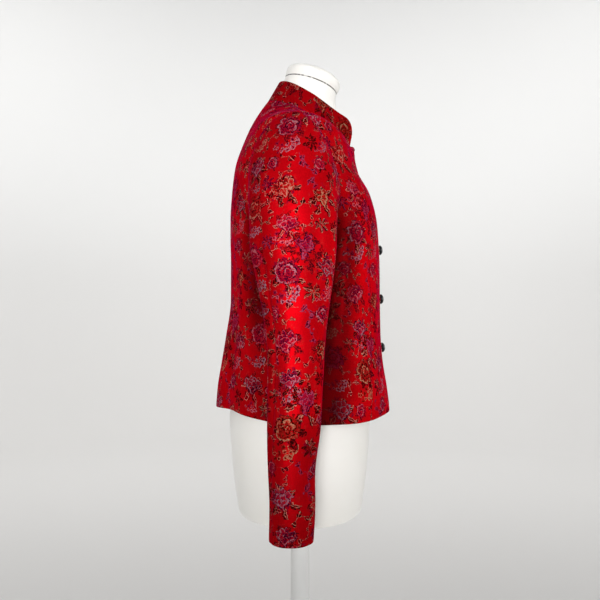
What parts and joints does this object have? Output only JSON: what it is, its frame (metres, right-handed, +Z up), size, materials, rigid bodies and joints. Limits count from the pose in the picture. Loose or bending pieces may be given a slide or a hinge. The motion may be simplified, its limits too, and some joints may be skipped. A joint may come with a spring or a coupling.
{
  "type": "tang jacket on dress form",
  "caption": "Waist-length brocade jacket with a stand collar, long set-in sleeves and domed front buttons, on a limbless dress form with a pole and round base.",
  "frame": {"origin": "centre of the stand's base, on the floor", "axes": "+Z up; the jacket's front faces -Y; the wearer's left is +X"},
  "size_m": [0.5196, 0.34, 1.3866],
  "materials": {
    "brocade": "red satin with a woven floral brocade",
    "button_black": "polished black",
    "form_cover": "off-white stretch cover, dull",
    "stand_metal": "pale grey satin paint"
  },
  "bodies": {
    "root": {"back": "brocade", "button_1": "button_black", "button_2": "button_black", "button_3": "button_black", "centre_front_left": "brocade", "centre_front_right": "brocade", "collar": "brocade", "dress_form": "form_cover", "neck_cap": "form_cover", "side_front_left": "brocade", "side_front_right": "brocade", "sleeve_left": "brocade", "sleeve_right": "brocade", "stand_base": "stand_metal", "stand_pole": "stand_metal"}
  },
  "joints": []
}
